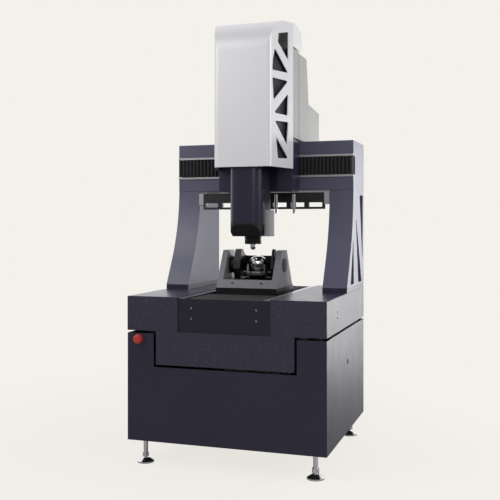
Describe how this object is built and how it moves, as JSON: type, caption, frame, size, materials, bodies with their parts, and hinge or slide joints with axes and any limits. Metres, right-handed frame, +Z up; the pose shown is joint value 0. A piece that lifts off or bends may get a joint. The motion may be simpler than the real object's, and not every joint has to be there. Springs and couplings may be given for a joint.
{
  "type": "coordinate measuring machine",
  "caption": "Gantry coordinate measuring machine: granite table with a sliding tilt and rotary unit under an optical head that travels across the beam and down.",
  "frame": {"origin": "on the floor under the middle of the stand's footprint", "axes": "+X to the right as seen from the front, +Y to the back, +Z up"},
  "size_m": [0.966, 1.076, 2.146],
  "materials": {
    "aluminium": "anodised aluminium",
    "bellows": "coated black bellows fabric",
    "black_alu": "black anodised aluminium",
    "black_metal": "satin black lacquer",
    "black_plastic": "matt black",
    "chrome": "polished chrome",
    "dark_core": "dark anodised aluminium",
    "dark_paint": "satin-gloss dark violet-grey lacquer",
    "granite": "polished dark granite",
    "hood_white": "satin white lacquer",
    "housing_grey": "satin light grey lacquer",
    "red_plastic": "gloss red",
    "rubber": "black rubber",
    "sample": "polished facets",
    "steel": "ground steel",
    "tilt_paint": "satin grey lacquer on the tilt unit"
  },
  "bodies": {
    "machine_base": {"foot_pads": "chrome", "foot_spindles": "chrome", "stand_frame": "black_metal", "front_shell": "dark_paint", "rear_shell": "dark_paint", "side_panel_left": "dark_paint", "side_panel_right": "dark_paint", "floor_tray": "black_metal", "isolators": "rubber", "controller_unit": "housing_grey", "estop_collar": "black_plastic", "granite_table": "granite", "channel_end_covers": "black_metal", "cover_screws": "steel", "channel_side_strips": "aluminium", "y_rails": "steel", "y_motor_track": "steel", "y_bellows_front": "bellows", "y_bellows_rear": "bellows", "column_left": "dark_paint", "column_right": "dark_paint", "column_foot_plates": "black_metal", "crossbeam": "dark_paint", "x_rails": "steel", "x_motor_track": "steel", "bellows_strips": "aluminium", "x_bellows_left": "bellows", "x_bellows_right": "bellows", "rack_frame": "black_metal", "rack_brackets": "housing_grey", "rack_objectives": "steel"},
    "x_carriage": {"carriage_box": "black_metal", "x_runner_blocks": "steel", "hood": "hood_white", "head_core": "dark_core", "rear_housing": "housing_grey", "z_rails": "steel", "z_drive": "steel"},
    "quill": {"quill_column": "black_alu", "quill_cover": "dark_paint", "quill_cap": "black_plastic", "nose_ring": "black_alu", "objective": "chrome", "side_camera": "aluminium", "z_runner_blocks": "steel"},
    "y_slide": {"y_carriage": "aluminium", "y_runner_blocks": "steel", "stage_plate": "black_alu", "cheeks": "tilt_paint", "crossbars": "tilt_paint", "tilt_unit_screws": "steel", "trunnion_drums": "black_alu"},
    "tilt_cradle": {"cradle": "black_alu"},
    "rotary_spindle": {"faceplate": "black_alu", "chuck_jaws": "black_alu", "workpiece": "sample"},
    "stop_button": {"estop_button": "red_plastic"},
    "lock_left": {"panel_lock_left": "chrome"},
    "lock_right": {"panel_lock_right": "chrome"}
  },
  "joints": [
    {"name": "x_axis", "type": "slide", "parent": "machine_base", "child": "x_carriage", "axis": [1, 0, 0], "range_m": [-0.155, 0.155], "deforming": ["x_bellows_left", "x_bellows_right"]},
    {"name": "z_axis", "type": "slide", "parent": "x_carriage", "child": "quill", "axis": [0, 0, 1], "range_m": [0, 0.3]},
    {"name": "y_axis", "type": "slide", "parent": "machine_base", "child": "y_slide", "axis": [0, 1, 0], "range_m": [-0.155, 0.155], "deforming": ["y_bellows_front", "y_bellows_rear"]},
    {"name": "tilt_axis", "type": "hinge", "parent": "y_slide", "child": "tilt_cradle", "pos_m": [0, 0.02, 0.925], "axis": [1, 0, 0], "range_deg": [-15, 90]},
    {"name": "rotary_axis", "type": "hinge", "parent": "tilt_cradle", "child": "rotary_spindle", "pos_m": [0.016, 0.02, 0.886], "axis": [0, 0, 1], "continuous": true},
    {"name": "stop_press", "type": "slide", "parent": "machine_base", "child": "stop_button", "axis": [0, 1, 0], "range_m": [0, 0.004], "stiffness_N_per_m": 1000},
    {"name": "lock_left_turn", "type": "hinge", "parent": "machine_base", "child": "lock_left", "pos_m": [-0.48, 0.011, 0.46], "axis": [1, 0, 0], "range_deg": [0, 90]},
    {"name": "lock_right_turn", "type": "hinge", "parent": "machine_base", "child": "lock_right", "pos_m": [0.48, 0.011, 0.46], "axis": [1, 0, 0], "range_deg": [0, 90]}
  ]
}
